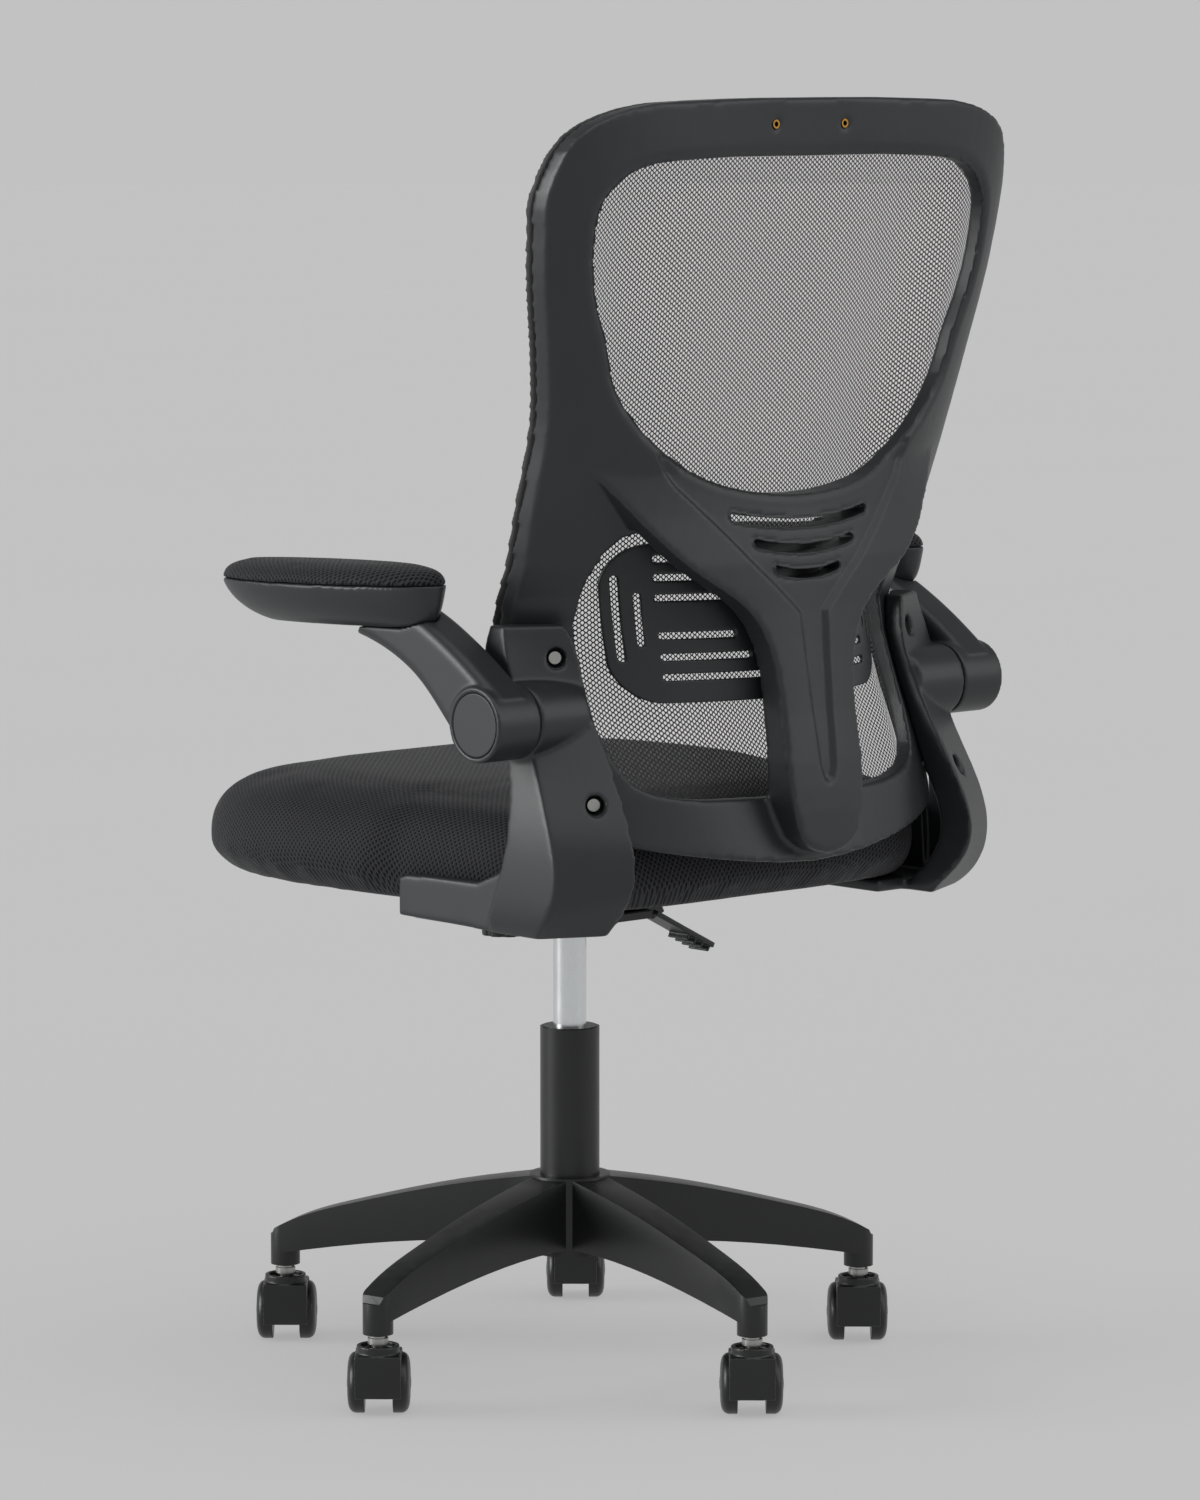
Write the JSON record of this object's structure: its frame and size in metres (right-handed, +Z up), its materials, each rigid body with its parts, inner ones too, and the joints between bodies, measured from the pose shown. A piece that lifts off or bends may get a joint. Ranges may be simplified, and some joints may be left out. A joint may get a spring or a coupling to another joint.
{
  "type": "swivel office chair",
  "caption": "Swivel office chair with a mesh back on a Y-shaped spine, lumbar plate, padded flip-up armrests, padded seat, gas lift and a star base on twin-wheel casters.",
  "frame": {"origin": "on the floor under the column's axis", "axes": "+Z up, +Y towards the back of the chair, +X to the sitter's left"},
  "size_m": [0.624, 0.5864, 1.0681],
  "materials": {
    "frame_plastic": "satin, fine grain",
    "black_nylon": "semi-matte",
    "black_paint": "satin black paint",
    "bright_steel": "satin",
    "zinc_steel": "zinc plated",
    "brass": "satin",
    "plywood": "plain",
    "spacer_fabric": "black spacer mesh",
    "mesh_binding": "black woven edge over a plastic ring",
    "back_mesh": "open black net"
  },
  "bodies": {
    "base_body": {"base": "black_nylon", "caster_stems": "zinc_steel", "stem_clips": "zinc_steel", "column_tube": "black_paint", "guide_sleeve": "black_nylon", "thrust_bearing": "zinc_steel"},
    "piston_body": {"piston_rod": "zinc_steel", "rod_clip": "zinc_steel"},
    "lift_body": {"gas_cylinder": "bright_steel", "mechanism_housing": "black_paint", "tilt_pin": "zinc_steel"},
    "release_button_body": {"release_button": "zinc_steel"},
    "lever_body": {"height_lever": "frame_plastic"},
    "seat_body": {"seat_plate": "black_paint", "plate_bolts": "zinc_steel", "foot_bolts": "zinc_steel", "seat_board": "plywood", "seat_cushion": "spacer_fabric", "back_frame": "frame_plastic", "headrest_inserts": "brass", "mesh_carrier": "mesh_binding", "back_mesh": "back_mesh", "lumbar_pad": "frame_plastic", "lumbar_screws": "zinc_steel", "back_bolts": "zinc_steel", "bracket_left": "frame_plastic", "bracket_right": "frame_plastic", "pivot_bolt_left": "zinc_steel", "pivot_bolt_right": "zinc_steel", "tension_spring": "zinc_steel"},
    "knob_body": {"tension_knob": "black_nylon"},
    "armrest_left_body": {"armrest_arm_left": "frame_plastic", "armrest_shell_left": "frame_plastic", "armrest_cushion_left": "spacer_fabric", "hub_cap_left": "frame_plastic"},
    "armrest_right_body": {"armrest_arm_right": "frame_plastic", "armrest_shell_right": "frame_plastic", "armrest_cushion_right": "spacer_fabric", "hub_cap_right": "frame_plastic"},
    "caster_1_body": {"caster_1_housing": "black_nylon"},
    "caster_1_wheels": {"caster_1_axle": "zinc_steel", "caster_1_wheel_a": "black_nylon", "caster_1_wheel_b": "black_nylon"},
    "caster_2_body": {"caster_2_housing": "black_nylon"},
    "caster_2_wheels": {"caster_2_axle": "zinc_steel", "caster_2_wheel_a": "black_nylon", "caster_2_wheel_b": "black_nylon"},
    "caster_3_body": {"caster_3_housing": "black_nylon"},
    "caster_3_wheels": {"caster_3_axle": "zinc_steel", "caster_3_wheel_a": "black_nylon", "caster_3_wheel_b": "black_nylon"},
    "caster_4_body": {"caster_4_housing": "black_nylon"},
    "caster_4_wheels": {"caster_4_axle": "zinc_steel", "caster_4_wheel_a": "black_nylon", "caster_4_wheel_b": "black_nylon"},
    "caster_5_body": {"caster_5_housing": "black_nylon"},
    "caster_5_wheels": {"caster_5_axle": "zinc_steel", "caster_5_wheel_a": "black_nylon", "caster_5_wheel_b": "black_nylon"}
  },
  "joints": [
    {"name": "seat_swivel", "type": "hinge", "parent": "base_body", "child": "piston_body", "pos_m": [0, 0, 0.1], "axis": [0, 0, 1], "continuous": true},
    {"name": "seat_height", "type": "slide", "parent": "piston_body", "child": "lift_body", "axis": [0, 0, 1], "range_m": [-0.08, 0]},
    {"name": "lever_lift", "type": "hinge", "parent": "lift_body", "child": "lever_body", "pos_m": [-0.042, -0.022, 0.4], "axis": [0, 1, 0], "range_deg": [0, 5], "stiffness_Nm_per_rad": 2, "springref_deg": -5.73},
    {"name": "valve_press", "type": "slide", "parent": "lift_body", "child": "release_button_body", "axis": [0, 0, 1], "range_m": [-0.0042, 0]},
    {"name": "seat_tilt", "type": "hinge", "parent": "lift_body", "child": "seat_body", "pos_m": [0, -0.045, 0.4], "axis": [-1, 0, 0], "range_deg": [0, 10], "stiffness_Nm_per_rad": 80, "springref_deg": -20.05, "deforming": ["tension_spring"]},
    {"name": "tension_turn", "type": "hinge", "parent": "seat_body", "child": "knob_body", "pos_m": [0, -0.08, 0.37], "axis": [0, 0, 1], "range_deg": [-180, 180]},
    {"name": "armrest_left_lift", "type": "hinge", "parent": "seat_body", "child": "armrest_left_body", "pos_m": [0.26, 0.199, 0.581], "axis": [-1, 0, 0], "range_deg": [0, 90]},
    {"name": "armrest_right_lift", "type": "hinge", "parent": "seat_body", "child": "armrest_right_body", "pos_m": [-0.26, 0.199, 0.581], "axis": [-1, 0, 0], "range_deg": [0, 90]},
    {"name": "caster_1_swivel", "type": "hinge", "parent": "base_body", "child": "caster_1_body", "pos_m": [0.123, -0.22748, 0.05], "axis": [0, 0, 1], "continuous": true},
    {"name": "caster_1_roll", "type": "hinge", "parent": "caster_1_body", "child": "caster_1_wheels", "pos_m": [0.11077, -0.24068, 0.025], "axis": [0.7337, -0.6794, 0], "continuous": true},
    {"name": "caster_2_swivel", "type": "hinge", "parent": "base_body", "child": "caster_2_body", "pos_m": [0.25435, 0.04668, 0.05], "axis": [0, 0, 1], "continuous": true},
    {"name": "caster_2_roll", "type": "hinge", "parent": "caster_2_body", "child": "caster_2_wheels", "pos_m": [0.24212, 0.03347, 0.025], "axis": [0.7337, -0.6794, 0], "continuous": true},
    {"name": "caster_3_swivel", "type": "hinge", "parent": "base_body", "child": "caster_3_body", "pos_m": [0.0342, 0.25633, 0.05], "axis": [0, 0, 1], "continuous": true},
    {"name": "caster_3_roll", "type": "hinge", "parent": "caster_3_body", "child": "caster_3_wheels", "pos_m": [0.02197, 0.24312, 0.025], "axis": [0.7337, -0.6794, 0], "continuous": true},
    {"name": "caster_4_swivel", "type": "hinge", "parent": "base_body", "child": "caster_4_body", "pos_m": [-0.23321, 0.11174, 0.05], "axis": [0, 0, 1], "continuous": true},
    {"name": "caster_4_roll", "type": "hinge", "parent": "caster_4_body", "child": "caster_4_wheels", "pos_m": [-0.24544, 0.09853, 0.025], "axis": [0.7337, -0.6794, 0], "continuous": true},
    {"name": "caster_5_swivel", "type": "hinge", "parent": "base_body", "child": "caster_5_body", "pos_m": [-0.17834, -0.18727, 0.05], "axis": [0, 0, 1], "continuous": true},
    {"name": "caster_5_roll", "type": "hinge", "parent": "caster_5_body", "child": "caster_5_wheels", "pos_m": [-0.19057, -0.20048, 0.025], "axis": [0.7337, -0.6794, 0], "continuous": true}
  ],
  "couplings": [
    {"joint": "valve_press", "follows": "lever_lift", "m_per_rad": -0.045}
  ]
}
